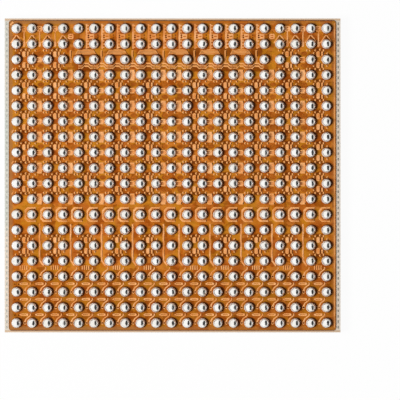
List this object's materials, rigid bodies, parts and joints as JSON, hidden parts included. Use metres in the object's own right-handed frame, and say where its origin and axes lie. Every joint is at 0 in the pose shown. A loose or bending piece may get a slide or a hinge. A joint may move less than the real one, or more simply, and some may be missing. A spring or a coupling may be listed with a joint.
{
  "type": "ball grid array chip",
  "caption": "Thin rectangular wafer-level chip with a full grid of solder balls on an amber film over its silicon die, and a black coated back.",
  "frame": {"origin": "middle of the black back's outline, on the surface that it lies on", "axes": "+Z from the black back through the thickness to the balls; +X along the rows of balls, away from the first column; row a lies at the +Y edge"},
  "size_m": [0.0086, 0.0082, 0.0006],
  "materials": {
    "black_coating": "matt near-black back coating with a very fine even grain",
    "silicon": "sawn grey silicon, satin",
    "circuit": "pale grey-green circuit layers, semi-gloss",
    "mark_metal": "dull aluminium test marks",
    "lower_film": "dark amber polyimide film",
    "copper_plane": "plated copper under the film",
    "upper_film": "amber polyimide film, glossy",
    "pad_metal": "plated pad metal",
    "copper_lines": "copper lines seen through a clear amber skin, glossy",
    "solder": "bright reflowed solder"
  },
  "bodies": {
    "root": {"back_coating": "black_coating", "silicon_die": "silicon", "circuit_layers": "circuit", "street_marks": "mark_metal", "lower_film": "lower_film", "copper_sheet": "copper_plane", "ball_seats": "copper_plane", "upper_film": "upper_film", "ball_pads": "pad_metal", "islands": "copper_lines", "studs": "copper_lines", "bridge_plates": "copper_lines", "link_straps": "copper_lines", "corner_loops": "copper_lines", "ladder_straps": "copper_lines", "fan_plates": "copper_lines", "signal_lines": "copper_lines", "ball_frames": "copper_lines", "row_lines": "copper_lines", "edge_line": "copper_lines", "corner_mark": "copper_lines", "balls_row_a": "solder", "balls_row_b": "solder", "balls_row_c": "solder", "balls_row_d": "solder", "balls_row_e": "solder", "balls_row_f": "solder", "balls_row_g": "solder", "balls_row_h": "solder", "balls_row_j": "solder", "balls_row_k": "solder", "balls_row_l": "solder", "balls_row_m": "solder", "balls_row_n": "solder", "balls_row_p": "solder", "balls_row_r": "solder", "balls_row_t": "solder", "balls_row_u": "solder", "balls_row_v": "solder", "balls_row_w": "solder", "balls_row_y": "solder"}
  },
  "joints": []
}
